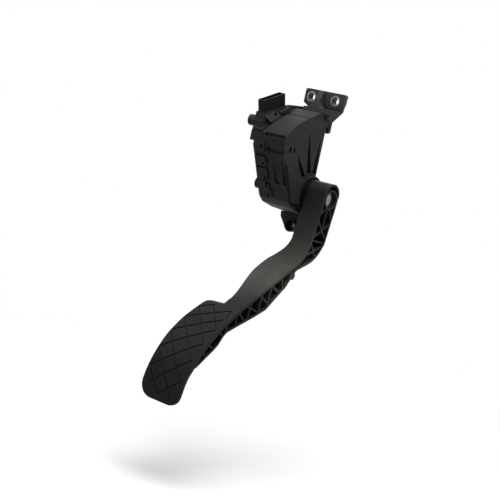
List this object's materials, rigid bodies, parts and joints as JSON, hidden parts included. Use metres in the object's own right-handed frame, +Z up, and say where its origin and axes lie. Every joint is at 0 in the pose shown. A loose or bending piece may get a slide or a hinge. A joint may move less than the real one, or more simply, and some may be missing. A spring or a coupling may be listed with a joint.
{
  "type": "accelerator pedal",
  "caption": "Hanging electronic accelerator pedal: flanged moulded housing with a plug socket and sensor cover, and a ribbed arm with a curved, cross-grooved foot pad.",
  "frame": {"origin": "midway between the two flange holes, on the mounting plane against the bulkhead", "axes": "+X to the car's right as the driver sits, +Y forward into the bulkhead, +Z up along the flange"},
  "size_m": [0.078, 0.1917, 0.3056],
  "materials": {
    "housing_plastic": "moulded glass-filled nylon, dark grey-green, satin",
    "cover_plastic": "moulded glass-filled nylon, satin",
    "socket_plastic": "moulded plastic, near black",
    "arm_plastic": "moulded glass-filled nylon, fine grain",
    "inner_plastic": "moulded plastic, dark",
    "shoe_plastic": "unfilled acetal, off-white",
    "bearing_material": "sintered sleeve with dry film",
    "board": "glass-epoxy board, green solder mask",
    "bush_steel": "zinc-plated steel",
    "axle_steel": "turned steel",
    "spring_steel": "drawn spring steel",
    "contact_brass": "tinned contact bronze",
    "seal_rubber": "moulded rubber"
  },
  "bodies": {
    "mount_frame": {"housing": "housing_plastic", "left_mount_bush": "bush_steel", "right_mount_bush": "bush_steel", "bearing_plate": "inner_plastic", "sensor_cover": "cover_plastic", "cover_seal": "seal_rubber", "plug_socket": "socket_plastic", "connector_pins": "contact_brass", "circuit_board": "board", "board_screws": "axle_steel", "left_bearing": "bearing_material", "right_bearing": "bearing_material", "spring_cup": "inner_plastic", "outer_spring": "spring_steel", "inner_spring": "spring_steel", "idle_buffer": "seal_rubber", "full_travel_buffer": "seal_rubber"},
    "pedal": {"pedal_arm": "arm_plastic", "arm_pin": "axle_steel", "axle": "axle_steel", "thrust_washer": "axle_steel", "inner_lever": "inner_plastic", "lever_pin": "axle_steel", "friction_shoe": "shoe_plastic", "rotor": "inner_plastic", "wiper_springs": "contact_brass", "retaining_clip": "axle_steel"}
  },
  "joints": [
    {"name": "pedal_hinge", "type": "hinge", "parent": "mount_frame", "child": "pedal", "pos_m": [0, -0.0195, -0.0955], "axis": [1, 0, 0], "range_deg": [0, 17], "stiffness_Nm_per_rad": 12, "springref_deg": -16.62, "deforming": ["outer_spring", "inner_spring"]}
  ]
}
